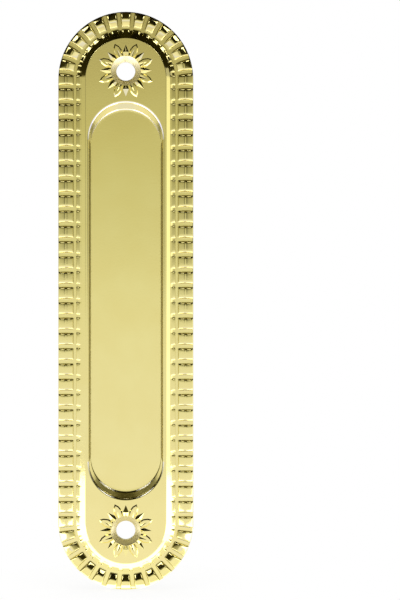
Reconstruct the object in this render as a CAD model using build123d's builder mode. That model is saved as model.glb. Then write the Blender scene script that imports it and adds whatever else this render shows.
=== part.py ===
from build123d import *
from math import asin, atan, cos, degrees, pi, radians, sin, sqrt, tan
import os

# Flush pull for a sliding door, one casting: a flange with a toothed border, a raised
# centre plate, a finger cup sunk through it, and a rosette round each screw hole.
# It is modelled face up, with X across, Y along its length and Z out of the door from
# the mounting plane, and is stood on end in the last block. All sizes in millimetres.

# Outline, a slot shape
length = 152.0
width = 35.5

# Flange, whose upper face is the floor of the border
flange_thickness = 1.2

# Outer moulding: a roll along the outline's edge, round outside and with two flats inside, and
# a small bead at its inner foot
moulding_width = 3.85
moulding_height = 1.05
moulding_edge_inset = 0.1
roll_radius = 1.8
bead_width = 0.66
bead_height = 0.45

# Flat channel between the outer moulding and the foot of the centre plate
channel_width = 0.93

# Centre plate, with sloping sides
plate_rise = 1.8
plate_slope_width = 1.97

# Inner moulding, a step at the foot of the plate's slope with a bevelled riser above it
tread_width = 0.42
tread_height = 0.5
riser_height = 0.58
riser_depth = 0.58

# Grooves that part both mouldings into teeth; the pitch is measured along the outline
tooth_pitch = 4.0
groove_floor_width = 0.98
groove_wall_draft = 28.0

# Finger cup, with steep walls for the fingertips, a rounded rim and a rounded foot
cup_land = 0.85
cup_depth = 10.0
cup_wall = 1.5
cup_draft = 1.0
cup_rim_radius = 0.4
cup_floor_radius = 1.3
cup_rounding_steps = 2

# Countersunk screw holes, measured at the plate's face
screw_hole_diameter = 5.0
countersink_diameter = 7.7
countersink_angle = 90.0

# Rosette: pointed leaves with spears between them, each fluted towards the screw hole
leaf_count = 8
neck_gap = 0.05
leaf_height = 0.34
leaf_bevel = 0.3
leaf_tip_radius = 7.57
leaf_neck_half_width = 0.82
leaf_belly_radius = 5.35
leaf_belly_half_width = 1.1
leaf_shoulder_radius = 6.6
leaf_shoulder_half_width = 0.76
leaf_flute_end_radius = 6.0
leaf_flute_half_width = 0.5
spear_height = 0.42
spear_tip_radius = 6.8
spear_peak_radius = 5.05
spear_half_width = 0.78
spear_neck_half_width = 0.55
spear_flute_half_width = 0.42
flute_depth = 0.4
rosette_end_land = 1.38
rosette_cup_land = 0.18

# Outline and border, worked out from the sizes above
outline_radius = width / 2
straight_length = length - width
end_centre = straight_length / 2
moulding_inner_radius = outline_radius - moulding_width
plate_foot_radius = moulding_inner_radius - channel_width
plate_edge_radius = plate_foot_radius - plate_slope_width
plate_top = flange_thickness + plate_rise
plate_slope_angle = degrees(atan(plate_slope_width / plate_rise))

# Teeth: a whole number of pitches along each side and round each end
side_pitches = round(straight_length / tooth_pitch)
side_pitch = straight_length / side_pitches
end_pitches = round(pi * outline_radius / tooth_pitch)
end_step = 180 / end_pitches
tooth_height = max(moulding_height, tread_height + riser_height)
roll_edge_radius = outline_radius - moulding_edge_inset
roll_centre_height = moulding_height - roll_radius
roll_centre_radius = roll_edge_radius - sqrt(roll_radius**2 - roll_centre_height**2)
roll_base = flange_thickness + roll_centre_height
crease_radius = moulding_inner_radius + bead_width
roll_turn = asin((roll_centre_radius - crease_radius) / roll_radius)
groove_wall_run = tooth_height * tan(radians(groove_wall_draft))
ends = [Location((0, end_centre, 0)), Location((0, -end_centre, 0), (0, 0, 180))]
ends_reversed = [Location((0, -end_centre, 0)), Location((0, end_centre, 0), (0, 0, 180))]

# Screw holes sit where the rosettes fit between the plate's ends and the cup
screw_offset = end_centre + plate_edge_radius - rosette_end_land - leaf_tip_radius
countersink_radius = countersink_diameter / 2
neck_radius = countersink_radius + neck_gap
leaf_step = 360 / leaf_count

# Cup rim at the plate's face
cup_rim_half_width = plate_edge_radius - cup_land
cup_rim_half_length = screw_offset - leaf_tip_radius - rosette_cup_land


def half_tooth(groove_offset, groove_angle):
    """Half a tooth of both mouldings, from Y = 0 to the groove that ends it, pointing along X."""
    with BuildPart() as half:
        with BuildSketch(Plane.XZ):
            with BuildLine():
                edge = (roll_edge_radius, flange_thickness)
                base = (moulding_inner_radius, flange_thickness)
                bead = (moulding_inner_radius, flange_thickness + bead_height)
                crease, middle, crest = [
                    (roll_centre_radius - roll_radius * sin(turn), roll_base + roll_radius * cos(turn))
                    for turn in (roll_turn, roll_turn / 2, 0)
                ]
                Polyline(edge, base, bead, crease, middle, crest)
                TangentArc(crest, edge, tangent=(1, 0))
            make_face()
            with BuildLine():
                tread = flange_thickness + tread_height
                riser = plate_foot_radius - tread_width
                Polyline(
                    (plate_foot_radius, flange_thickness),
                    (plate_foot_radius, tread),
                    (riser, tread),
                    (riser - riser_depth, tread + riser_height),
                    (plate_edge_radius, tread + riser_height),
                    (plate_edge_radius, flange_thickness),
                    close=True,
                )
            make_face()
        extrude(amount=-side_pitch)
        across = (-sin(radians(groove_angle)), cos(radians(groove_angle)), 0)
        along = (cos(radians(groove_angle)), sin(radians(groove_angle)), 0)
        with BuildSketch(Plane((0, groove_offset, flange_thickness), x_dir=across, z_dir=along)):
            with BuildLine():
                Polyline(
                    (-groove_floor_width / 2, 0),
                    (side_pitch, 0),
                    (side_pitch, tooth_height),
                    (-groove_floor_width / 2 - groove_wall_run, tooth_height),
                    close=True,
                )
            make_face()
        extrude(amount=length, mode=Mode.SUBTRACT)
    return half.part


# Teeth of the sides and of the ends, and the two hands that stand where sides meet ends
side_half = half_tooth(side_pitch / 2, 0)
end_half = half_tooth(0, end_step / 2)
with BuildPart() as side_tooth:
    add(side_half)
    mirror(side_half, about=Plane.XZ)
with BuildPart() as end_tooth:
    add(end_half)
    mirror(end_half, about=Plane.XZ)
with BuildPart() as corner_tooth:
    add(end_half)
    mirror(side_half, about=Plane.XZ)
with BuildPart() as other_corner_tooth:
    add(side_half)
    mirror(end_half, about=Plane.XZ)

# The border: every tooth in its place round the outline
with BuildPart() as border:
    with GridLocations(0, side_pitch, 1, side_pitches - 1):
        with PolarLocations(0, 2):
            add(side_tooth.part)
    with Locations(*ends):
        add(corner_tooth.part)
        with PolarLocations(0, end_pitches - 1, start_angle=end_step, angular_range=180 - end_step):
            add(end_tooth.part)
    with Locations(*ends_reversed):
        add(other_corner_tooth.part)

# One spear of a rosette, a ridged point along X that rises from the plate's face
with BuildSketch(Plane.YZ.offset(spear_peak_radius)) as spear_peak:
    with BuildLine():
        Polyline((-spear_half_width, 0), (spear_half_width, 0), (0, spear_height), close=True)
    make_face()
with BuildSketch(Plane.YZ.offset(neck_radius)) as spear_neck:
    with BuildLine():
        Polyline((-spear_neck_half_width, 0), (spear_neck_half_width, 0), (0, leaf_height), close=True)
    make_face()
with BuildPart() as spear:
    loft([spear_peak.sketch, Vertex(spear_tip_radius, 0, 0)], ruled=True)
    loft([spear_neck.sketch, spear_peak.sketch], ruled=True)


def flute(end_radius, half_width, top):
    """V-shaped cutter along X, deepest at the screw hole and running out at end_radius."""
    with BuildSketch(Plane.YZ.offset(neck_radius)) as mouth:
        with BuildLine():
            Polyline((-half_width, top), (half_width, top), (0, top - flute_depth), close=True)
        make_face()
    with BuildPart() as cutter:
        loft([mouth.sketch, Vertex(end_radius, 0, top)], ruled=True)
    return cutter.part


# Outline of one leaf of a rosette, pointing along X
with BuildSketch() as leaf:
    with BuildLine():
        Polyline(
            (neck_radius, -leaf_neck_half_width),
            (leaf_belly_radius, -leaf_belly_half_width),
            (leaf_shoulder_radius, -leaf_shoulder_half_width),
            (leaf_tip_radius, 0),
        )
        mirror(about=Plane.XZ)
        Line((neck_radius, leaf_neck_half_width), (neck_radius, -leaf_neck_half_width))
    make_face()

# One rosette, centred on its screw hole and standing on the plate's face
with BuildPart() as rosette:
    with PolarLocations(0, leaf_count, start_angle=leaf_step / 2):
        add(leaf.sketch)
    extrude(amount=leaf_height, taper=degrees(atan(leaf_bevel / leaf_height)))
    with PolarLocations(0, leaf_count):
        add(spear.part)
    with PolarLocations(0, leaf_count, start_angle=leaf_step / 2):
        add(flute(leaf_flute_end_radius, leaf_flute_half_width, leaf_height), mode=Mode.SUBTRACT)
    with PolarLocations(0, leaf_count):
        add(flute(spear_peak_radius, spear_flute_half_width, spear_height), mode=Mode.SUBTRACT)


def cup_outline(depth, inset):
    """Slot outline of the finger cup at a depth below the plate's face, inset from its drafted walls."""
    narrowing = inset + depth * tan(radians(cup_draft))
    half_width = cup_rim_half_width - narrowing
    half_length = cup_rim_half_length - narrowing
    with BuildSketch(Plane.XY.offset(plate_top - depth)) as outline:
        SlotOverall(2 * half_length, 2 * half_width, rotation=90)
    return outline.sketch


def rounded_floor(depth, radius, inset):
    """Cup outlines from a wall at this inset, round the corner and onto the floor at this depth."""
    turns = [radians(90) * step / cup_rounding_steps for step in range(cup_rounding_steps + 1)]
    return [cup_outline(depth - radius * (1 - sin(t)), inset + radius * (1 - cos(t))) for t in turns]


def rounded_rim(radius):
    """Cup outlines from the plate's face, round the rim and into the wall."""
    turns = [radians(90) * step / cup_rounding_steps for step in range(cup_rounding_steps + 1)]
    return [cup_outline(radius * (1 - cos(t)), radius * sin(t)) for t in turns]


# The casting, face up
with BuildPart() as casting:
    with BuildSketch():
        SlotOverall(length, width, rotation=90)
    extrude(amount=flange_thickness)
    with BuildSketch(Plane.XY.offset(flange_thickness)):
        SlotOverall(straight_length + 2 * plate_foot_radius, 2 * plate_foot_radius, rotation=90)
    extrude(amount=plate_rise, taper=plate_slope_angle)

    shell_inset = cup_rim_radius - cup_wall
    shell_floor = rounded_floor(cup_depth + cup_wall, cup_floor_radius + cup_wall, shell_inset)
    loft([cup_outline(plate_top, shell_inset), *shell_floor], ruled=True)
    cup_floor = rounded_floor(cup_depth, cup_floor_radius, cup_rim_radius)
    loft([*rounded_rim(cup_rim_radius), *cup_floor], ruled=True, mode=Mode.SUBTRACT)

    add(border.part)
    with Locations((0, screw_offset, plate_top), (0, -screw_offset, plate_top)):
        add(rosette.part)
        CounterSinkHole(screw_hole_diameter / 2, countersink_radius, counter_sink_angle=countersink_angle)

# Stood on end: length along Z, face towards -Y, mounting plane at Y = 0
with BuildPart(Plane.XZ) as flush_pull:
    add(casting.part)
flush_pull.part.label = "flush_pull"

os.makedirs("parts", exist_ok=True)
export_step(flush_pull.part, "parts/flush_pull.step")
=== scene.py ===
import math
from collections import namedtuple
from types import SimpleNamespace
import bmesh
import bpy
from bpy.props import FloatProperty, FloatVectorProperty, IntProperty, PointerProperty
from mathutils import Matrix, Vector


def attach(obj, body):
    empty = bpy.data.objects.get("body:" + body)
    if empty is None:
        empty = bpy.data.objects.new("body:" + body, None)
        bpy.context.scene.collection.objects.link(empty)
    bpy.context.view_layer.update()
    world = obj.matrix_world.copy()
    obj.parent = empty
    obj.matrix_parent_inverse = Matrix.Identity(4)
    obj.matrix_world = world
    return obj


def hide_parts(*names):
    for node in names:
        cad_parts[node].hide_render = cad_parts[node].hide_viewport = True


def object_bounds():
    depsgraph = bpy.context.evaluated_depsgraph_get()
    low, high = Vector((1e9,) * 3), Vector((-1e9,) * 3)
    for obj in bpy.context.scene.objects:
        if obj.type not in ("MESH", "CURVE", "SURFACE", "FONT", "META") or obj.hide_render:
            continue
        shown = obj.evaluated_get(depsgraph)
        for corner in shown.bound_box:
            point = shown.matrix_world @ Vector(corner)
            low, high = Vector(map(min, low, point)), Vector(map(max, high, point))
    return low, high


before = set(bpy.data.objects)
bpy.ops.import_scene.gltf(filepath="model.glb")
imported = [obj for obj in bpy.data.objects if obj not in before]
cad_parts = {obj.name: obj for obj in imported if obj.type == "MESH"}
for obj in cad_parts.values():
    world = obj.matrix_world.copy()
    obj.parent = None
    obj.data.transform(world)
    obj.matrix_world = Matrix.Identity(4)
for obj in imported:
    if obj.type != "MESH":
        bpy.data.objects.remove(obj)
CAD_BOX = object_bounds()

bl_info = {
    "name": "Flush pull",
    "version": (1, 0, 0),
    "blender": (4, 5, 0),
    "location": "View3D > Sidebar > Flush pull",
    "description": "Models the cast flush pull of a sliding door, and sets its studio",
    "category": "Object",
}

# The pieces are modelled in millimetres, face up: X across, Y along the length and Z out of the
# door from the mounting plane. stand_up() brings them to metres and to the frame of the model.
MM = 0.001
CAD_LENGTH = CAD_BOX[1][2] - CAD_BOX[0][2]
CAD_WIDTH = CAD_BOX[1][0] - CAD_BOX[0][0]
# Two points are one within TINY, or within NEAR where they were worked out in different ways
TINY = 1e-4
NEAR = 0.002
# Edges that turn by less than this many degrees are shaded smooth, and large faces count for more
# there, on Blender's scale of 1 to 100
CAST_SMOOTH = 33.0
ROSETTE_SMOOTH = 15.0
LARGE_FACE_WEIGHT = 90

# A rounded corner, and one half slot loop of the casting's skin with the rounding it gets
Rounding = namedtuple("Rounding", "width segments")
Loop = namedtuple("Loop", "radius centre height rounding", defaults=(None,))

# The plate's slope, as distances inwards from the outline
PLATE_FOOT_IN = 5.15
PLATE_EDGE_IN = 7.13
# Straight pieces in the half circle of an end and in a screw hole, and how far the hole's cutter
# overruns the casting
END_STEPS = 48
HOLE_STEPS = 96
CUTTER_OVERRUN = 1.0
# The lean of the cup's walls, along its sides and at its ends
CUP_DRAFT = math.tan(math.radians(1.0))
CUP_END_DRAFT = math.tan(math.radians(3.0))
# The cove at the cup's foot: radius, turn and steps of its arc, and how wide it is along the
# sides as a share of its width at the ends
COVE_R = 0.45
COVE_TURN = math.radians(36.0)
COVE_STEPS = 8
COVE_SIDE_SHARE = 0.2
SHELL_ROUND = Rounding(2.6, 6)
BACK_EDGE_ROUND = Rounding(0.15, 2)
FRONT_EDGE_ROUND = Rounding(0.2, 3)
PLATE_EDGE_ROUND = Rounding(0.07, 2)
CUP_RIM_ROUND = Rounding(0.55, 8)
# Support loops keep the corners and their roundings even, and stand this far beside them
SHELL_SUPPORT = 0.9
SHELL_TOP_SUPPORT = 0.6
FLANGE_SUPPORT = 0.5
PLATE_SUPPORT = 0.12
FLOOR_SUPPORT = 3.5
# How the plate's faces are told apart: room left at a face's edge, and how far in from the cup's
# rim its walls reach
FACE_MARGIN = 0.01
CUP_WALL_REACH = 2.0
# Between this far down from the cup's rim and this far up from its floor, the side walls are darkened
# this much, from 0 to 1: painted shade in the cup, with a rougher finish like brass that the
# polishing wheel misses
POLISHED_UNSHADED_RIM = 0.4
POLISHED_UNSHADED_FOOT = 0.45
CUP_SIDE_MISSED_AND_SHADED = 0.8
# How pale the turned countersinks are, from 0 to 1
COUNTERSINK_PALE = 0.5

# One pitch of the border in section, from the outer edge inwards: distance from the outline, and
# the tooth's height above the border's floor (None: no tooth, the plate's slope goes on). The roll
# comes first, then the channel, then the dentil on the foot of the slope.
CELL_ROWS = (
    (0.05, None), (0.05, 0.0), (0.13, 0.22), (0.39, 0.41), (0.77, 0.55), (1.35, 0.68),
    (1.85, 0.745), (2.25, 0.735), (2.60, 0.665), (3.00, 0.525), (3.40, 0.355), (3.80, 0.19),
    (3.95, 0.03), (3.99, 0.0), (4.73, 0.0), (4.79, 0.0), (4.795, 0.27), (4.802, 0.30),
    (5.15, 0.375), (5.66, 0.485), (5.72, 0.56), (6.02, None), (6.32, None),
)
# How far the section's two ends sink into the flange and the plate's slope
OUTER_SINK = 0.35
INNER_SINK = 0.05
# The middle of the channel, where the roll's widths give way to the dentil's
CHANNEL_IN = 4.35
# Across a pitch: distance from the groove's middle at the roll and at the dentil, how far the surface
# lies below the tooth's top there (None: on the groove's floor), and how much painted shade darkens
# it, with a rougher finish like brass that the polishing wheel misses
WALL_STEPS = (
    (0.0, 0.0, None, 0.0), (0.48, 0.36, None, 0.0), (0.54, 0.42, None, 0.6),
    (0.62, 0.50, 0.16, 0.4), (0.72, 0.57, 0.035, 0.0), (0.95, 0.78, 0.0, 0.0),
)
# A tooth lower than this has its sides rounded by less
ROUNDED_HEIGHT = 0.25
# The row of the roll's inner wall, and how much painted shade darkens it, with a rougher finish like
# brass that the wheel misses
MISSED_AND_SHADED_WALL_IN = 3.95
MISSED_AND_SHADED_WALL = 0.5
# The border's skin lies this far above the flange, and is closed this far below the flange's face
SKIN = 0.02
SKIN_DEPTH = 0.6

# The rosettes' neck stands this far outside the countersink. Its face, given by its normal, leans
# away from the hole.
ROSETTE_GAP = 0.05
NECK_FACE = (-1, 0, 0.3)
# The block that a leaf or spear is cut from: how far it starts inside the neck, its outer radius,
# its half width, and how far it sinks into the plate
BLOCK_START = 1.0
BLOCK_R = 8.0
BLOCK_HALF = 3.0
BLOCK_SINK = 0.3
# Edges that turn by more than this angle are softened
PETAL_SHARP = math.radians(30.0)
PETAL_ROUND = Rounding(0.02, 2)
# A leaf: half width at the neck, then radius and half width on to its tip; width of its bevel;
# depth, half width at the neck and end radius of its flute
LEAF_NECK_HALF = 0.82
LEAF_OUTLINE = ((5.35, 1.1), (6.6, 0.76), (7.57, 0.0))
LEAF_BEVEL = 0.3
LEAF_FLUTE = 0.3
LEAF_FLUTE_HALF = 0.5
LEAF_FLUTE_R = 6.0
# A spear: half widths at the neck and at its peak, radii of its peak and tip; depth and half width
# at the neck of its flute
SPEAR_NECK_HALF = 0.55
SPEAR_PEAK_HALF = 0.78
SPEAR_PEAK_R = 4.85
SPEAR_TIP_R = 6.8
SPEAR_FLUTE = 0.4
SPEAR_FLUTE_HALF = 0.42

# The brass: detail of the noises for its patches of tone and for its polishing grain
PATCH_DETAIL = 2.0
GRAIN_DETAIL = 3.0
# Its roughness rises over this stretch of the grain's noise, and faces darkened with painted shade,
# made rougher as unpolished brass, and turned faces add to it
GRAIN_STRETCH = (0.3, 0.7)
POLISHED_ROUGHNESS = (0.05, 0.09)
MISSED_ROUGHNESS = 0.5
TURNED_ROUGHNESS = 0.35
# The waves that hand polishing leaves
WAVE_HEIGHT = 0.012 * MM
WAVE_STRENGTH = 0.35
# The places of a colour mix node's sockets
MIX_SHARE, MIX_FIRST, MIX_SECOND, MIX_RESULT = 0, 6, 7, 2

# The studio by height above the horizon in degrees: level, and its green and blue against its red.
# It is a pale warm room in front, bright below and black overhead.
STUDIO_LIGHT = (
    (-90.0, 2.6, 0.97, 1.0), (-72.0, 2.1, 0.97, 1.0), (-58.0, 1.4, 0.97, 1.0),
    (-46.0, 1.12, 0.97, 1.0), (-38.0, 1.0, 0.97, 0.95), (-26.0, 0.75, 0.97, 0.95),
    (-18.0, 0.82, 1.03, 1.6), (-12.0, 0.84, 1.05, 1.8), (-10.4, 0.95, 1.0, 1.2),
    (-8.6, 0.97, 0.98, 1.05), (-6.0, 0.885, 1.0, 1.07), (-4.7, 0.868, 1.0, 1.08),
    (-2.0, 0.84, 1.0, 1.02), (-0.65, 0.816, 1.0, 0.97), (0.7, 0.776, 1.0, 0.92),
    (2.0, 0.715, 1.0, 0.88), (3.4, 0.67, 1.0, 0.84), (4.7, 0.63, 0.99, 0.77),
    (6.0, 0.575, 0.98, 0.71), (8.6, 0.48, 0.96, 0.72), (9.8, 0.41, 0.95, 0.68),
    (11.2, 0.10, 0.92, 0.4), (12.4, 0.045, 0.9, 0.3), (16.0, 0.03, 0.88, 0.25),
    (30.0, 0.022, 0.85, 0.2), (90.0, 0.018, 0.8, 0.1),
)
# Grey cards left and right of the camera, by how far a direction leans sideways: the share of the
# room's light that they leave. They stand above the horizon, and come in between two heights. Leans
# and heights are parts of a unit direction.
CARDS = (
    (0.0, 1.0), (0.08, 1.0), (0.14, 0.3), (0.22, 0.3), (0.32, 0.6), (0.5, 0.75), (0.94, 0.78),
    (0.98, 1.0),
)
CARDS_RISE = (-0.02, 0.03)
# Lamps in metres: name, place, the point it faces, width and height, and which of the studio's
# levels it has
LAMPS = (
    ("left_softbox", (-0.66, -1.07, 0.817), (0, 0, 0), (0.60, 0.40), "softbox_level"),
    ("right_softbox", (0.66, -1.07, 0.817), (0, 0, 0), (0.60, 0.40), "softbox_level"),
    ("right_panel", (1.0, -0.07, 0.0), (0, 0, 0), (0.16, 0.9), "panel_level"),
    ("floor_strip", (0.0, -0.0014, -0.0755), (0, -0.0014, 1), (0.06, 0.0034), "strip_level"),
    ("left_floor_strip", (-0.165, -0.055, -0.0755), (-0.165, -0.055, 1), (0.27, 0.11), "strip_level"),
    ("right_floor_strip", (0.165, -0.055, -0.0755), (0.165, -0.055, 1), (0.27, 0.11), "strip_level"),
)
# How wide the paper's own light is, seen from the paper
PAPER_LIGHT_ANGLE = math.radians(60)
# The paper's own shading, which holds the shadow, as a share beside its plain white
PAPER_SHADING = 0.1
WHITE = (1, 1, 1, 1)
# The round of paper just under the pull's lower end
FLOOR_GAP = 0.2 * MM
FLOOR_Z = CAD_BOX[0][2] - FLOOR_GAP
FLOOR_R = 45 * MM
FLOOR_STEPS = 64
# The picture in pixels, the height that it shows of the mounting plane, and the pixel at which the
# pull's middle lies
PICTURE = (400, 600)
PICTURE_HEIGHT = 158.2 * MM
PULL_AT = (125.8, 300.7)
# The height of the camera's sensor in millimetres, and where its view starts in metres
SENSOR = 24.0
CLIP_START = 0.01


def linear(hex_code):
    """sRGB hex value as linear red, green, blue and alpha."""
    channels = [int(hex_code[i:i + 2], 16) / 255 for i in (1, 3, 5)]
    return [c / 12.92 if c <= 0.04045 else ((c + 0.055) / 1.055) ** 2.4 for c in channels] + [1.0]


def length_property(name, description, default):
    """A size in metres."""
    return FloatProperty(name=name, description=description, default=default, min=0.0,
                         precision=5, unit="LENGTH")


def colour_property(name, description, hex_code):
    """A colour, given as an sRGB hex value."""
    return FloatVectorProperty(name=name, description=description, default=linear(hex_code),
                               size=4, min=0.0, max=1.0, subtype="COLOR")


def level_property(name, description, default):
    """A level of light."""
    return FloatProperty(name=name, description=description, default=default, min=0.0)


class FLUSHPULL_PG_sizes(bpy.types.PropertyGroup):
    """Sizes of the casting"""
    length: length_property("Length", "Overall length of the flange", CAD_LENGTH)
    width: length_property("Width", "Overall width of the flange", CAD_WIDTH)
    flange: length_property("Flange", "Thickness of the flange under the border", 0.0012)
    plate: length_property("Plate height", "Height of the raised plate above the door", 0.003)
    cup_length: length_property("Cup length", "Length of the finger cup at its rim", 0.1047)
    cup_width: length_property("Cup width", "Width of the finger cup at its rim", 0.0203)
    cup_depth: length_property("Cup depth", "Depth of the finger cup below the plate", 0.010)
    wall: length_property("Wall", "Thickness of the cup's shell", 0.0015)
    screw_spacing: length_property("Screw spacing", "Distance between the screw holes", 0.1206)
    hole: length_property("Screw hole", "Diameter of the screw holes", 0.005)
    countersink: length_property("Countersink", "Diameter of the countersinks", 0.0077)
    leaf: length_property("Leaf height", "Height of the leaves above the plate", 0.00034)
    spear: length_property("Spear height", "Height of the spears above the plate", 0.00042)
    leaves: IntProperty(name="Leaves", description="Number of leaves in a rosette",
                        default=8, min=3)
    side_pitches: IntProperty(name="Side pitches", description="Pitches of the border along a side",
                              default=29, min=1)
    end_pitches: IntProperty(name="End pitches", description="Pitches of the border round an end",
                             default=14, min=2)


class FLUSHPULL_PG_finish(bpy.types.PropertyGroup):
    """Colours and grain of the brass"""
    brass: colour_property("Brass", "Polished brass in its deeper patches", "#F6E796")
    brass_light: colour_property("Light brass", "Polished brass in its lighter patches", "#FCF1A6")
    # Pale brass is the turned countersinks' own colour, and a painted sheen on the cup's end walls
    pale_and_sheen: colour_property("Pale brass", "Brass where a tool or wheel has left it palest", "#FDF8E0")
    # This dark brown is painted shade in the cup's side walls and the border's groove walls, which
    # are also made rougher
    unpolished_and_shade: colour_property("Unpolished brass", "Brass that the wheel has missed", "#857D4A")
    patch: length_property("Patches", "Size of the patches of tone", 0.009)
    grain: length_property("Grain", "Size of the polishing grain", 0.0005)


class FLUSHPULL_PG_studio(bpy.types.PropertyGroup):
    """The studio round the pull"""
    paper: colour_property("Paper", "Colour of the paper that the pull stands on", "#F4F4F2")
    softbox_level: level_property("Softboxes", "Brightness of the softboxes, white being 1", 2.6)
    panel_level: level_property("Panel", "Brightness of the right panel, white being 1", 0.5)
    strip_level: level_property("Strips", "Brightness of the floor strips, white being 1", 1.8)
    paper_light: level_property("Paper light", "Strength of the light on the paper", 3.3)
    distance: length_property("Camera distance", "Distance from the mounting plane", 0.45)


def measures():
    """The casting's measures in millimetres, worked out from the sizes in the sidebar."""
    sizes = bpy.context.scene.flush_pull_sizes
    m = SimpleNamespace()
    m.outline_r = sizes.width / MM / 2
    m.end_centre = (sizes.length - sizes.width) / MM / 2
    m.flange = sizes.flange / MM
    m.plate = sizes.plate / MM
    m.plate_foot_r = m.outline_r - PLATE_FOOT_IN
    m.plate_edge_r = m.outline_r - PLATE_EDGE_IN
    m.plate_slope = (m.plate - m.flange) / (PLATE_EDGE_IN - PLATE_FOOT_IN)
    m.cup_r = sizes.cup_width / MM / 2
    m.cup_wall_r = m.cup_r - CUP_RIM_ROUND.width
    m.cup_centre = (sizes.cup_length - sizes.cup_width) / MM / 2
    m.cup_depth = sizes.cup_depth / MM
    m.wall = sizes.wall / MM
    m.floor_z = m.plate - m.cup_depth
    m.shell_z = m.floor_z - m.wall
    m.screw_y = sizes.screw_spacing / MM / 2
    m.hole_r = sizes.hole / MM / 2
    m.countersink_r = sizes.countersink / MM / 2
    m.countersink_depth = m.countersink_r - m.hole_r
    m.neck_r = m.countersink_r + ROSETTE_GAP
    m.leaf = sizes.leaf / MM
    m.spear = sizes.spear / MM
    m.side_pitch = 2 * m.end_centre / sizes.side_pitches
    m.end_step = 180.0 / sizes.end_pitches
    return m


def add_node(tree, kind, settings=None, inputs=None):
    """Adds one node; inputs are values to set or sockets to link, by the input's name or number."""
    node = tree.nodes.new(kind)
    for name, value in (settings or {}).items():
        setattr(node, name, value)
    for key, value in (inputs or {}).items():
        if isinstance(value, bpy.types.NodeSocket):
            tree.links.new(value, node.inputs[key])
        else:
            node.inputs[key].default_value = value
    return node


def clear():
    """Back to object mode with nothing selected."""
    if bpy.context.mode != "OBJECT":
        bpy.ops.object.mode_set(mode="OBJECT")
    bpy.ops.object.select_all(action="DESELECT")


def activate(obj):
    """Selects one object alone, in object mode."""
    clear()
    obj.select_set(True)
    bpy.context.view_layer.objects.active = obj


def edit(obj):
    """Opens one object alone in edit mode with all of it selected."""
    activate(obj)
    bpy.ops.object.mode_set(mode="EDIT")
    bpy.ops.mesh.select_all(action="SELECT")


def pick(mode, test):
    """In edit mode, selects only the vertices, edges or faces that pass a test."""
    bpy.ops.mesh.select_mode(type=mode)
    bpy.ops.mesh.select_all(action="DESELECT")
    data = bpy.context.object.data
    mesh = bmesh.from_edit_mesh(data)
    for item in {"VERT": mesh.verts, "EDGE": mesh.edges, "FACE": mesh.faces}[mode]:
        if test(item):
            item.select_set(True)
    bmesh.update_edit_mesh(data)


def face_outwards():
    """In edit mode, turns all normals outwards."""
    bpy.ops.mesh.select_all(action="SELECT")
    bpy.ops.mesh.normals_make_consistent(inside=False)


def cut(point, normal):
    """In edit mode, slices off what lies on the normal's side of a plane and closes the slice."""
    bpy.ops.mesh.select_mode(type="VERT")
    bpy.ops.mesh.select_all(action="SELECT")
    bpy.ops.mesh.bisect(plane_co=point, plane_no=normal, use_fill=True, clear_outer=True,
                        threshold=TINY / 10)


def round_edges(rounding, test):
    """In edit mode, rounds the edges that pass a test."""
    pick("EDGE", test)
    bpy.ops.mesh.bevel(offset=rounding.width, offset_type="OFFSET", segments=rounding.segments,
                       profile=0.5, affect="EDGES", clamp_overlap=False)


def mirror_across_x(obj):
    """Adds the other half of an object, mirrored at the plane Y = 0."""
    activate(obj)
    half = obj.modifiers.new("other_half", "MIRROR")
    half.use_axis = (False, True, False)
    half.merge_threshold = TINY
    bpy.ops.object.modifier_apply(modifier=half.name)


def joined(objects, name):
    """Joins objects into one with that name."""
    clear()
    for obj in objects:
        obj.select_set(True)
    bpy.context.view_layer.objects.active = objects[0]
    bpy.ops.object.join()
    objects[0].name = objects[0].data.name = name
    return objects[0]


def copied(obj, matrix):
    """A copy of an object with its own mesh, moved by a matrix."""
    twin = obj.copy()
    twin.data = obj.data.copy()
    twin.data.transform(matrix)
    bpy.context.scene.collection.objects.link(twin)
    return twin


def spin(degrees):
    """A turn about the Z axis."""
    return Matrix.Rotation(math.radians(degrees), 4, "Z")


def shift(y):
    """A move along the pull's length."""
    return Matrix.Translation((0, y, 0))


def stand_up(obj, smooth_below):
    """Stands a finished piece on end in metres, shades it and puts it in place of the casting."""
    activate(obj)
    obj.rotation_euler = (math.radians(90), 0, 0)
    obj.scale = (MM, MM, MM)
    bpy.ops.object.transform_apply(location=True, rotation=True, scale=True)
    bpy.ops.object.shade_smooth_by_angle(angle=math.radians(smooth_below))
    flat = obj.modifiers.new("flat_faces_stay_flat", "WEIGHTED_NORMAL")
    flat.keep_sharp = True
    flat.weight = LARGE_FACE_WEIGHT
    bpy.ops.object.modifier_apply(modifier=flat.name)
    obj.data.materials.clear()
    obj.data.materials.append(polished_brass())
    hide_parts("flush_pull")
    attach(obj, "root")


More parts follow.
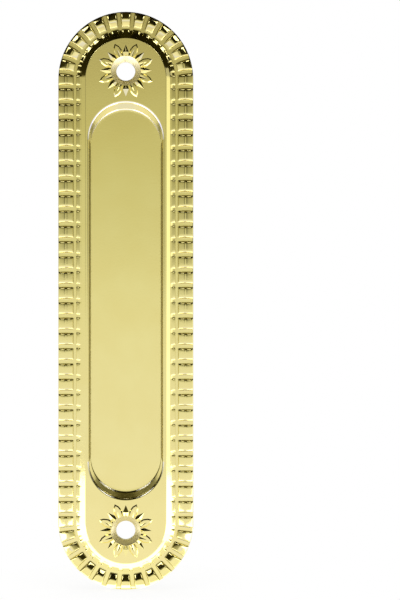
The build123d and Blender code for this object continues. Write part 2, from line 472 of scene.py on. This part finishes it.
def polished_brass():
    """Cast brass, wheel polished and lacquered: a warm mirror with a fine grain and faint waves.

    It is browner, as painted shade, and rougher in the narrow walls of the cup and the border; paler
    and rougher where a tool has turned the countersinks; and paler on the cup's end walls as a
    painted sheen.
    """
    found = bpy.data.materials.get("polished_lacquered_brass")
    if found:
        return found
    finish = bpy.context.scene.flush_pull_finish
    material = bpy.data.materials.new("polished_lacquered_brass")
    material.use_nodes = True
    tree = material.node_tree
    shader = tree.nodes["Principled BSDF"]
    shader.inputs["Metallic"].default_value = 1.0
    place = add_node(tree, "ShaderNodeTexCoord").outputs["Object"]
    # The masks: painted shade with a rougher finish in the recessed walls, turned countersinks, and
    # the pale colour, which is turned brass in the countersinks and painted sheen on the cup's end
    # walls
    missed_and_shaded, turned, pale_and_sheen = (
        add_node(tree, "ShaderNodeAttribute", {"attribute_name": name}).outputs["Fac"]
        for name in ("unpolished_and_shade", "turned", "pale_and_sheen"))
    # Tone drifts over patches of a few millimetres, as hand polishing leaves it
    patches = add_node(tree, "ShaderNodeTexNoise", None, {
        "Vector": place, "Scale": 1 / finish.patch, "Detail": PATCH_DETAIL})
    tone = add_node(tree, "ShaderNodeMix", {"data_type": "RGBA"}, {
        MIX_SHARE: patches.outputs["Fac"], MIX_FIRST: finish.brass, MIX_SECOND: finish.brass_light})
    # The pale colour is the turned countersinks' own and a painted sheen on the cup's end walls; the
    # dark brown is painted shade in the recessed walls
    bright = add_node(tree, "ShaderNodeMix", {"data_type": "RGBA"}, {
        MIX_SHARE: pale_and_sheen, MIX_FIRST: tone.outputs[MIX_RESULT], MIX_SECOND: finish.pale_and_sheen})
    colour = add_node(tree, "ShaderNodeMix", {"data_type": "RGBA"}, {
        MIX_SHARE: missed_and_shaded, MIX_FIRST: bright.outputs[MIX_RESULT], MIX_SECOND: finish.unpolished_and_shade})
    tree.links.new(colour.outputs[MIX_RESULT], shader.inputs["Base Color"])
    # Polishing grain, drawn at about 0.5 mm; the real one is finer than the picture shows
    grain = add_node(tree, "ShaderNodeTexNoise", None, {
        "Vector": place, "Scale": 1 / finish.grain, "Detail": GRAIN_DETAIL})
    rough = add_node(tree, "ShaderNodeMapRange", None, {
        "Value": grain.outputs["Fac"],
        "From Min": GRAIN_STRETCH[0], "From Max": GRAIN_STRETCH[1],
        "To Min": POLISHED_ROUGHNESS[0], "To Max": POLISHED_ROUGHNESS[1]})
    dull = add_node(tree, "ShaderNodeMath", {"operation": "MULTIPLY_ADD"}, {
        0: missed_and_shaded, 1: MISSED_ROUGHNESS, 2: rough.outputs[0]})
    ridged = add_node(tree, "ShaderNodeMath", {"operation": "MULTIPLY_ADD"}, {
        0: turned, 1: TURNED_ROUGHNESS, 2: dull.outputs[0]})
    tree.links.new(ridged.outputs[0], shader.inputs["Roughness"])
    waves = add_node(tree, "ShaderNodeBump", None, {
        "Strength": WAVE_STRENGTH, "Distance": WAVE_HEIGHT, "Height": grain.outputs["Fac"]})
    tree.links.new(waves.outputs[0], shader.inputs["Normal"])
    return material


def slot_radius(place, centre):
    """Distance of a point from the middle line of a slot shape with that end centre."""
    return math.hypot(place.x, max(0.0, abs(place.y) - centre))


def on_loop(place, loop):
    """Tells whether a point lies on a slot loop."""
    beside = abs(slot_radius(place, loop.centre) - loop.radius)
    return abs(place.z - loop.height) < TINY and beside < NEAR


def half_outline(loop):
    """Starts a wire of half a slot loop, with its two feet on the mirror line Y = 0."""
    clear()
    bpy.ops.mesh.primitive_circle_add(vertices=2 * END_STEPS, radius=loop.radius)
    obj = bpy.context.object
    edit(obj)
    pick("VERT", lambda v: v.co.y < -TINY)
    bpy.ops.mesh.delete(type="VERT")
    bpy.ops.mesh.select_all(action="SELECT")
    bpy.ops.transform.translate(value=(0, loop.centre, loop.height))
    pick("VERT", lambda v: v.co.y < loop.centre + TINY)
    bpy.ops.mesh.extrude_vertices_move(TRANSFORM_OT_translate={"value": (0, -loop.centre, 0)})
    bpy.ops.mesh.select_all(action="SELECT")
    return obj


def next_outline(before, after):
    """Extrudes the selected wire of half a slot loop to the next loop."""
    rise = after.height - before.height
    growth = after.radius / before.radius
    bpy.ops.mesh.extrude_edges_move(TRANSFORM_OT_translate={"value": (0, 0, rise)})
    mesh = bmesh.from_edit_mesh(bpy.context.object.data)
    mesh.verts.index_update()
    wire = {v.index for v in mesh.verts if v.select}
    pick("VERT", lambda v: v.index in wire and v.co.y > before.centre - TINY)
    bpy.ops.transform.resize(value=(growth, growth, 1),
                             center_override=(0, before.centre, after.height))
    bpy.ops.transform.translate(value=(0, after.centre - before.centre, 0))
    pick("VERT", lambda v: v.index in wire and v.co.y < TINY)
    bpy.ops.transform.resize(value=(growth, 1, 1), center_override=(0, 0, after.height))
    pick("EDGE", lambda e: all(v.index in wire for v in e.verts))


def casting_loops(m):
    """The loops from the back of the shell round the flange and over the plate to the cup's rim."""
    shell_top_r = m.cup_wall_r + m.wall - m.plate * CUP_DRAFT
    shell_foot_r = m.cup_wall_r + m.wall - (m.cup_depth + m.wall) * CUP_DRAFT
    return [
        Loop(shell_foot_r - SHELL_ROUND.width - SHELL_SUPPORT, m.cup_centre, m.shell_z),
        Loop(shell_foot_r, m.cup_centre, m.shell_z, SHELL_ROUND),
        Loop(shell_top_r, m.cup_centre, 0.0),
        Loop(shell_top_r + SHELL_TOP_SUPPORT, m.cup_centre, 0.0),
        Loop(m.outline_r - FLANGE_SUPPORT, m.end_centre, 0.0),
        Loop(m.outline_r, m.end_centre, 0.0, BACK_EDGE_ROUND),
        Loop(m.outline_r, m.end_centre, m.flange, FRONT_EDGE_ROUND),
        Loop(m.outline_r - FLANGE_SUPPORT, m.end_centre, m.flange),
        Loop(m.plate_foot_r, m.end_centre, m.flange),
        Loop(m.plate_edge_r, m.end_centre, m.plate, PLATE_EDGE_ROUND),
        Loop(m.plate_edge_r - PLATE_SUPPORT, m.end_centre, m.plate),
        Loop(m.cup_r + PLATE_SUPPORT, m.cup_centre, m.plate),
        Loop(m.cup_wall_r, m.cup_centre, m.plate, CUP_RIM_ROUND),
    ]


def cup_loops(m):
    """The loops of the cove at the cup's foot and of the floor.

    The walls lean more at the cup's two ends than along its sides, and the cove is wider there.
    """
    loops = []
    for step in range(COVE_STEPS + 1):
        turn = COVE_TURN * (1 - step / COVE_STEPS)
        depth = m.cup_depth - COVE_R * (1 - math.cos(turn))
        cove = COVE_R * (math.sin(COVE_TURN) - math.sin(turn))
        radius = m.cup_wall_r - depth * CUP_DRAFT - COVE_SIDE_SHARE * cove
        centre = m.cup_centre - depth * (CUP_END_DRAFT - CUP_DRAFT) - (1 - COVE_SIDE_SHARE) * cove
        loops.append(Loop(radius, centre, m.plate - depth))
    loops.append(Loop(radius - FLOOR_SUPPORT, centre, m.floor_z))
    return loops


def screw_cutter(m):
    """A round cutter with the screw hole's bore and its countersink."""
    growth = (m.countersink_r + CUTTER_OVERRUN) / m.hole_r
    bore_length = m.plate - m.countersink_depth + CUTTER_OVERRUN
    cone_length = m.countersink_depth + CUTTER_OVERRUN
    clear()
    bpy.ops.mesh.primitive_circle_add(vertices=HOLE_STEPS, radius=m.hole_r, fill_type="NGON",
                                      location=(0, 0, -CUTTER_OVERRUN))
    obj = bpy.context.object
    bpy.ops.object.transform_apply(location=True, rotation=True, scale=True)
    edit(obj)
    bpy.ops.mesh.extrude_region_move(TRANSFORM_OT_translate={"value": (0, 0, bore_length)})
    bpy.ops.mesh.extrude_region_move(TRANSFORM_OT_translate={"value": (0, 0, cone_length)})
    bpy.ops.transform.resize(value=(growth, growth, 1), center_override=(0, 0, 0))
    face_outwards()
    clear()
    return obj


def bore(obj, cutter, y):
    """Cuts a screw hole into an object."""
    cutter.location = (0, y, 0)
    bpy.context.view_layer.update()
    activate(obj)
    hole = obj.modifiers.new("screw_hole", "BOOLEAN")
    hole.operation = "DIFFERENCE"
    hole.solver = "EXACT"
    hole.object = cutter
    bpy.ops.object.modifier_apply(modifier=hole.name)


def mark_faces(obj, name, value):
    """Gives each face a value by its middle, for the material to read."""
    layer = obj.data.attributes.new(name, "FLOAT", "FACE")
    for face, mark in zip(obj.data.polygons, layer.data):
        mark.value = value(face.center)


def mark_plate(obj, m):
    """Marks where the plate was turned, where it is pale, which on the cup's end walls is a painted
    sheen, and where the cup's side walls get painted shade with a rougher finish.
    """
    face_top = m.plate - FACE_MARGIN

    def countersunk(c):
        around_screw = math.hypot(c.x, abs(c.y) - m.screw_y)
        return m.plate - m.countersink_depth < c.z < face_top and around_screw < m.countersink_r

    def cup_wall(c):
        on_wall = m.cup_r - CUP_WALL_REACH < slot_radius(c, m.cup_centre) < m.cup_r
        return on_wall and m.floor_z + FACE_MARGIN < c.z < face_top

    def at_end(c):
        return abs(c.y) > m.cup_centre

    def unpolished_and_shaded_band(c):
        return m.floor_z + POLISHED_UNSHADED_FOOT < c.z < m.plate - POLISHED_UNSHADED_RIM

    # The end walls' pale colour is a painted sheen, the countersinks' is turned brass; the side walls
    # get painted shade, also made rougher
    def pale_and_sheen(c):
        return COUNTERSINK_PALE if countersunk(c) else float(cup_wall(c) and at_end(c))

    def missed_and_shaded(c):
        return CUP_SIDE_MISSED_AND_SHADED * float(cup_wall(c) and not at_end(c) and unpolished_and_shaded_band(c))

    mark_faces(obj, "turned", lambda c: float(countersunk(c)))
    mark_faces(obj, "pale_and_sheen", pale_and_sheen)
    mark_faces(obj, "unpolished_and_shade", missed_and_shaded)


class FLUSHPULL_OT_plate(bpy.types.Operator):
    """Models the flange, the raised plate and the finger cup with its shell"""
    bl_idname = "flush_pull.plate"
    bl_label = "Plate and cup"

    def execute(self, context):
        m = measures()
        loops = casting_loops(m) + cup_loops(m)
        obj = half_outline(loops[0])
        for before, after in zip(loops, loops[1:]):
            next_outline(before, after)
        for loop in loops:
            if loop.rounding:
                round_edges(loop.rounding, lambda e: all(on_loop(v.co, loop) for v in e.verts))
        mirror_across_x(obj)
        # The shell's back and the cup's floor are closed
        edit(obj)
        for height in (m.shell_z, m.floor_z):
            pick("EDGE", lambda e: e.is_boundary and abs(e.verts[0].co.z - height) < TINY)
            bpy.ops.mesh.edge_face_add()
        face_outwards()
        cutter = screw_cutter(m)
        for y in (m.screw_y, -m.screw_y):
            bore(obj, cutter, y)
        bpy.data.objects.remove(cutter)
        clear()
        mark_plate(obj, m)
        obj.name = obj.data.name = "cast_plate"
        stand_up(obj, CAST_SMOOTH)
        return {"FINISHED"}


def cell_point(m, row, step, halves):
    """Place of one point of a pitch, and how much painted shade darkens it, with a rougher finish
    like brass that the polishing wheel misses.

    Rows count inwards from the outer edge, and steps sideways from the middle of the tooth. Halves
    says for each hand, 1 or -1, whether the pitch ends there on the groove of a side or of an end.
    """
    inset, tooth = CELL_ROWS[row]
    radius = m.outline_r - inset
    ground = max(0.0, inset - PLATE_FOOT_IN) * m.plate_slope
    if row == 0:
        ground = -OUTER_SINK
    elif row == len(CELL_ROWS) - 1:
        ground -= INNER_SINK
    tooth = ground if tooth is None else tooth
    drop = missed_and_shaded = 0.0
    x, y = radius, 0.0
    if step:
        hand = 1 if step > 0 else -1
        at_roll, at_dentil, drop, missed_and_shaded = WALL_STEPS[len(WALL_STEPS) - abs(step)]
        inwards = at_roll if inset < CHANNEL_IN else at_dentil
        if halves[hand] == "side":
            y = hand * (m.side_pitch / 2 - inwards)
        else:
            turn = math.radians(m.end_step / 2)
            x = radius * math.cos(turn) + inwards * math.sin(turn)
            y = hand * (radius * math.sin(turn) - inwards * math.cos(turn))
    share = min(1.0, (tooth - ground) / ROUNDED_HEIGHT)
    height = ground if drop is None else tooth - drop * share
    # Painted shade at the foot of the groove's walls and on the roll's inner wall, weaker on low
    # teeth
    missed_and_shaded *= share
    if drop is not None and inset == MISSED_AND_SHADED_WALL_IN:
        missed_and_shaded = max(missed_and_shaded, MISSED_AND_SHADED_WALL)
    return (x, y, m.flange + SKIN + height), missed_and_shaded


def cell(name, m, halves):
    """Shapes a grid into one pitch of the border, as it lies on the +X side."""
    rows = len(CELL_ROWS)
    columns = 2 * len(WALL_STEPS) + 1
    clear()
    bpy.ops.mesh.primitive_grid_add(x_subdivisions=rows - 1, y_subdivisions=columns - 1, size=2.0)
    obj = bpy.context.object
    obj.name = name
    edit(obj)
    mesh = bmesh.from_edit_mesh(obj.data)
    if len(mesh.verts) != rows * columns:
        raise RuntimeError("the grid does not have one point for each place of the border's section")
    # Each point carries its painted shade, which also makes the brass rougher
    unpolished_and_shade = mesh.verts.layers.float.new("unpolished_and_shade")
    for vertex in mesh.verts:
        # The grid runs from -1 to 1 both ways
        row = round((vertex.co.x + 1) / 2 * (rows - 1))
        step = round((vertex.co.y + 1) / 2 * (columns - 1)) - len(WALL_STEPS)
        vertex.co, vertex[unpolished_and_shade] = cell_point(m, row, step, halves)
    bmesh.update_edit_mesh(obj.data)
    clear()
    return obj


class FLUSHPULL_OT_border(bpy.types.Operator):
    """Models one pitch of the toothed border for sides, ends and corners and sets them all round"""
    bl_idname = "flush_pull.border"
    bl_label = "Toothed border"

    def execute(self, context):
        m = measures()
        sizes = context.scene.flush_pull_sizes
        side = cell("side_cell", m, {1: "side", -1: "side"})
        end = cell("end_cell", m, {1: "end", -1: "end"})
        left_corner = cell("left_corner_cell", m, {1: "end", -1: "side"})
        right_corner = cell("right_corner_cell", m, {1: "side", -1: "end"})
        top, bottom, half_turn = shift(m.end_centre), shift(-m.end_centre), spin(180)
        ring = []
        for k in range(1, sizes.side_pitches):
            place = shift(-m.end_centre + k * m.side_pitch)
            ring += [copied(side, place), copied(side, place @ half_turn)]
        for k in range(1, sizes.end_pitches):
            turn = k * m.end_step
            ring += [copied(end, top @ spin(turn)), copied(end, bottom @ spin(180 + turn))]
        ring += [copied(left_corner, top), copied(left_corner, bottom @ half_turn),
                 copied(right_corner, bottom), copied(right_corner, top @ half_turn)]
        for model in (side, end, left_corner, right_corner):
            bpy.data.objects.remove(model)
        border = joined(ring, "cast_border")
        edit(border)
        bpy.ops.mesh.remove_doubles(threshold=NEAR)
        activate(border)
        smooth = border.modifiers.new("cast_softness", "SUBSURF")
        smooth.levels = smooth.render_levels = 1
        bpy.ops.object.modifier_apply(modifier=smooth.name)
        # The skin is closed underneath, inside the flange
        edit(border)
        pick("EDGE", lambda e: e.is_boundary)
        bpy.ops.mesh.extrude_edges_move(TRANSFORM_OT_translate={"value": (0, 0, -SKIN_DEPTH)})
        bpy.ops.transform.resize(value=(1, 1, 0), center_override=(0, 0, m.flange - SKIN_DEPTH))
        bpy.ops.mesh.bridge_edge_loops()
        face_outwards()
        stand_up(border, CAST_SMOOTH)
        return {"FINISHED"}


def plane_through(a, b, c, outside):
    """Point and normal of the plane through three points, its normal on the side of a fourth."""
    a, b, c = Vector(a), Vector(b), Vector(c)
    normal = (b - a).cross(c - a).normalized()
    return a, normal if normal.dot(Vector(outside) - a) > 0 else -normal


def petal(m, planes, top):
    """A block beside the middle plane, cut by planes to half a petal, mirrored and softened."""
    low = (m.neck_r - BLOCK_START, 0.0, m.plate - BLOCK_SINK)
    high = (BLOCK_R, BLOCK_HALF, top)
    clear()
    bpy.ops.mesh.primitive_cube_add(size=1.0, location=[(a + b) / 2 for a, b in zip(low, high)],
                                    scale=[b - a for a, b in zip(low, high)])
    obj = bpy.context.object
    bpy.ops.object.transform_apply(location=True, rotation=True, scale=True)
    edit(obj)
    for point, normal in planes:
        cut(point, normal)
    mirror_across_x(obj)
    # The two halves become one
    edit(obj)
    pick("FACE", lambda f: all(abs(v.co.y) < TINY for v in f.verts))
    bpy.ops.mesh.delete(type="FACE")
    bpy.ops.mesh.select_all(action="SELECT")
    bpy.ops.mesh.remove_doubles(threshold=TINY)
    face_outwards()
    round_edges(PETAL_ROUND, lambda e: e.is_manifold and e.calc_face_angle(0.0) > PETAL_SHARP)
    clear()
    return obj


def leaf(m):
    """One raised leaf with bevelled edges and a V flute that opens towards the hole."""
    neck, foot, top = m.neck_r, m.plate, m.plate + m.leaf
    outline = [(neck, LEAF_NECK_HALF), *LEAF_OUTLINE]
    planes = [((neck, 0, foot), NECK_FACE)]
    for (r0, w0), (r1, w1) in zip(outline, outline[1:]):
        side = Vector((w0 - w1, r1 - r0, 0)).normalized()
        planes.append(((r0, w0, foot), side + Vector((0, 0, LEAF_BEVEL / m.leaf))))
    planes.append(plane_through((LEAF_FLUTE_R, 0, top), (neck, 0, top - LEAF_FLUTE),
                                (neck, LEAF_FLUTE_HALF, top), outside=(neck, 0, top + 1)))
    return petal(m, planes, top)


def spear(m):
    """One ridged spear between two leaves, fluted towards the hole."""
    neck, foot, top = m.neck_r, m.plate, m.plate + m.spear
    tip = (SPEAR_TIP_R, 0, foot)
    peak = (SPEAR_PEAK_R, 0, top)
    shoulder = (SPEAR_PEAK_R, SPEAR_PEAK_HALF, foot)
    return petal(m, [
        ((neck, 0, foot), NECK_FACE),
        plane_through(shoulder, tip, peak, outside=(SPEAR_TIP_R, BLOCK_HALF, top)),
        plane_through((neck, SPEAR_NECK_HALF, foot), shoulder, peak,
                      outside=(SPEAR_PEAK_R, BLOCK_HALF, top)),
        plane_through(peak, (neck, 0, top - SPEAR_FLUTE), (neck, SPEAR_FLUTE_HALF, top),
                      outside=(neck, 0, top + 1)),
    ], top)


class FLUSHPULL_OT_rosettes(bpy.types.Operator):
    """Models one leaf and one spear and sets them round both screw holes"""
    bl_idname = "flush_pull.rosettes"
    bl_label = "Rosettes"

    def execute(self, context):
        m = measures()
        leaves = context.scene.flush_pull_sizes.leaves
        step = 360.0 / leaves
        one_leaf, one_spear = leaf(m), spear(m)
        petals = []
        for y in (m.screw_y, -m.screw_y):
            for k in range(leaves):
                petals.append(copied(one_leaf, shift(y) @ spin((k + 0.5) * step)))
                petals.append(copied(one_spear, shift(y) @ spin(k * step)))
        for model in (one_leaf, one_spear):
            bpy.data.objects.remove(model)
        stand_up(joined(petals, "cast_rosettes"), ROSETTE_SMOOTH)
        return {"FINISHED"}


def white_paper(colour):
    """White paper of a studio sweep: plain white to the camera and in mirrors, with a soft shadow."""
    paper = bpy.data.materials.new("white_paper_sweep")
    paper.use_nodes = True
    tree = paper.node_tree
    tree.nodes.clear()
    path = add_node(tree, "ShaderNodeLightPath")
    seen = add_node(tree, "ShaderNodeMath", {"operation": "MAXIMUM"}, {
        0: path.outputs["Is Camera Ray"], 1: path.outputs["Is Glossy Ray"]})
    seen = add_node(tree, "ShaderNodeMath", {"operation": "MAXIMUM"}, {
        0: seen.outputs[0], 1: path.outputs["Is Transmission Ray"]})
    glow = add_node(tree, "ShaderNodeEmission", None, {"Color": WHITE, "Strength": seen.outputs[0]})
    matt = add_node(tree, "ShaderNodeBsdfDiffuse", None, {"Color": colour})
    mix = add_node(tree, "ShaderNodeMixShader", None, {
        0: PAPER_SHADING, 1: glow.outputs[0], 2: matt.outputs[0]})
    add_node(tree, "ShaderNodeOutputMaterial", None, {"Surface": mix.outputs[0]})
    return paper


def studio_room():
    """The room that the brass mirrors, by height above the horizon; plain white to the camera."""
    world = bpy.data.worlds.new("studio")
    world.use_nodes = True
    tree = world.node_tree
    tree.nodes.clear()
    where = add_node(tree, "ShaderNodeTexCoord")
    axes = add_node(tree, "ShaderNodeSeparateXYZ", None, {"Vector": where.outputs["Generated"]})
    height = add_node(tree, "ShaderNodeMapRange", None, {
        "Value": axes.outputs["Z"], "From Min": -1.0, "From Max": 1.0})
    light = add_node(tree, "ShaderNodeValToRGB", None, {"Fac": height.outputs[0]})
    aside = add_node(tree, "ShaderNodeMath", {"operation": "ABSOLUTE"}, {0: axes.outputs["X"]})
    cards = add_node(tree, "ShaderNodeValToRGB", None, {"Fac": aside.outputs[0]})
    light_stops = [
        ((math.sin(math.radians(degrees)) + 1) / 2, (level, level * green, level * blue, 1))
        for degrees, level, green, blue in STUDIO_LIGHT]
    card_stops = [(lean, (share, share, share, 1)) for lean, share in CARDS]
    for ramp, stops in ((light, light_stops), (cards, card_stops)):
        elements = ramp.color_ramp.elements
        while len(elements) < len(stops):
            elements.new(0.5)
        for element, (position, colour) in zip(elements, stops):
            element.position = position
            element.color = colour
    above = add_node(tree, "ShaderNodeMapRange", None, {
        "Value": axes.outputs["Z"], "From Min": CARDS_RISE[0], "From Max": CARDS_RISE[1]})
    room = add_node(tree, "ShaderNodeMix", {"data_type": "RGBA", "blend_type": "MULTIPLY"}, {
        MIX_SHARE: above.outputs[0],
        MIX_FIRST: light.outputs["Color"], MIX_SECOND: cards.outputs["Color"]})
    path = add_node(tree, "ShaderNodeLightPath")
    shown = add_node(tree, "ShaderNodeMix", {"data_type": "RGBA"}, {
        MIX_SHARE: path.outputs["Is Camera Ray"],
        MIX_FIRST: room.outputs[MIX_RESULT], MIX_SECOND: WHITE})
    back = add_node(tree, "ShaderNodeBackground", None, {
        "Color": shown.outputs[MIX_RESULT], "Strength": 1.0})
    add_node(tree, "ShaderNodeOutputWorld", None, {"Surface": back.outputs[0]})
    return world


def paper_floor(studio):
    """Lays a round of white paper under the pull."""
    clear()
    bpy.ops.mesh.primitive_circle_add(vertices=FLOOR_STEPS, radius=FLOOR_R, fill_type="NGON",
                                      location=(0, 0, FLOOR_Z))
    floor = bpy.context.object
    floor.name = "floor"
    floor.data.materials.append(white_paper(studio.paper))


def hung(lamp):
    """An object that holds a lamp in the scene."""
    holder = bpy.data.objects.new(lamp.name, lamp)
    bpy.context.scene.collection.objects.link(holder)
    return holder


def studio_lamps(studio):
    """Hangs the lamps that the brass mirrors, and one for the paper."""
    for name, place, aim, size, level in LAMPS:
        lamp = bpy.data.lights.new(name, "AREA")
        lamp.shape = "RECTANGLE"
        lamp.size, lamp.size_y = size
        # With this power the lamp's face is as bright as its level says
        lamp.energy = getattr(studio, level) * math.pi * size[0] * size[1]
        holder = hung(lamp)
        holder.location = place
        holder.rotation_euler = (Vector(aim) - Vector(place)).to_track_quat("-Z", "Y").to_euler()
        holder.visible_camera = False
    # This one shines straight down and is kept out of the brass, so it lights the paper alone
    sky = bpy.data.lights.new("paper_light", "SUN")
    sky.energy = studio.paper_light
    sky.angle = PAPER_LIGHT_ANGLE
    hung(sky).visible_glossy = False


def picture_camera(studio):
    """Sets the camera level with the pull's middle, shifted to the picture's framing."""
    camera = bpy.data.cameras.new("camera")
    camera.sensor_fit = "VERTICAL"
    camera.sensor_height = SENSOR
    camera.lens = SENSOR * studio.distance / PICTURE_HEIGHT
    camera.shift_x = (PICTURE[0] / 2 - PULL_AT[0]) / PICTURE[1]
    camera.shift_y = (PULL_AT[1] - PICTURE[1] / 2) / PICTURE[1]
    camera.clip_start = CLIP_START
    rig = bpy.data.objects.new("camera", camera)
    rig.location = (0, -studio.distance, 0)
    rig.rotation_euler = (math.radians(90), 0, 0)
    bpy.context.scene.collection.objects.link(rig)
    bpy.context.scene.camera = rig


class FLUSHPULL_OT_stage(bpy.types.Operator):
    """Sets the floor, the studio light and the camera"""
    bl_idname = "flush_pull.stage"
    bl_label = "Stage"

    def execute(self, context):
        scene = context.scene
        studio = scene.flush_pull_studio
        scene.view_settings.view_transform = "Standard"
        scene.world = studio_room()
        paper_floor(studio)
        studio_lamps(studio)
        picture_camera(studio)
        return {"FINISHED"}


class FLUSHPULL_PT_panel(bpy.types.Panel):
    """Lists the pieces of the pull and its stage, with their sizes and colours"""
    bl_idname = "FLUSHPULL_PT_panel"
    bl_label = "Flush pull"
    bl_space_type = "VIEW_3D"
    bl_region_type = "UI"
    bl_category = "Flush pull"

    def draw(self, context):
        scene = context.scene
        for group in (scene.flush_pull_sizes, scene.flush_pull_finish, scene.flush_pull_studio):
            box = self.layout.box()
            for name in group.bl_rna.properties.keys():
                if name not in ("rna_type", "name"):
                    box.prop(group, name)
        for operator in OPERATORS:
            self.layout.operator(operator.bl_idname)


OPERATORS = (FLUSHPULL_OT_plate, FLUSHPULL_OT_border, FLUSHPULL_OT_rosettes, FLUSHPULL_OT_stage)
GROUPS = {
    "flush_pull_sizes": FLUSHPULL_PG_sizes,
    "flush_pull_finish": FLUSHPULL_PG_finish,
    "flush_pull_studio": FLUSHPULL_PG_studio,
}
CLASSES = (*GROUPS.values(), *OPERATORS, FLUSHPULL_PT_panel)


def register():
    """Adds the classes, and the settings to the scene."""
    for cls in CLASSES:
        bpy.utils.register_class(cls)
    for name, group in GROUPS.items():
        setattr(bpy.types.Scene, name, PointerProperty(type=group))


def unregister():
    """Takes away what register() adds."""
    for name in GROUPS:
        delattr(bpy.types.Scene, name)
    for cls in reversed(CLASSES):
        bpy.utils.unregister_class(cls)


def main():
    """Models the pull and its stage."""
    register()
    bpy.ops.flush_pull.plate()
    bpy.ops.flush_pull.border()
    bpy.ops.flush_pull.rosettes()
    bpy.ops.flush_pull.stage()


if __name__ == "__main__":
    main()
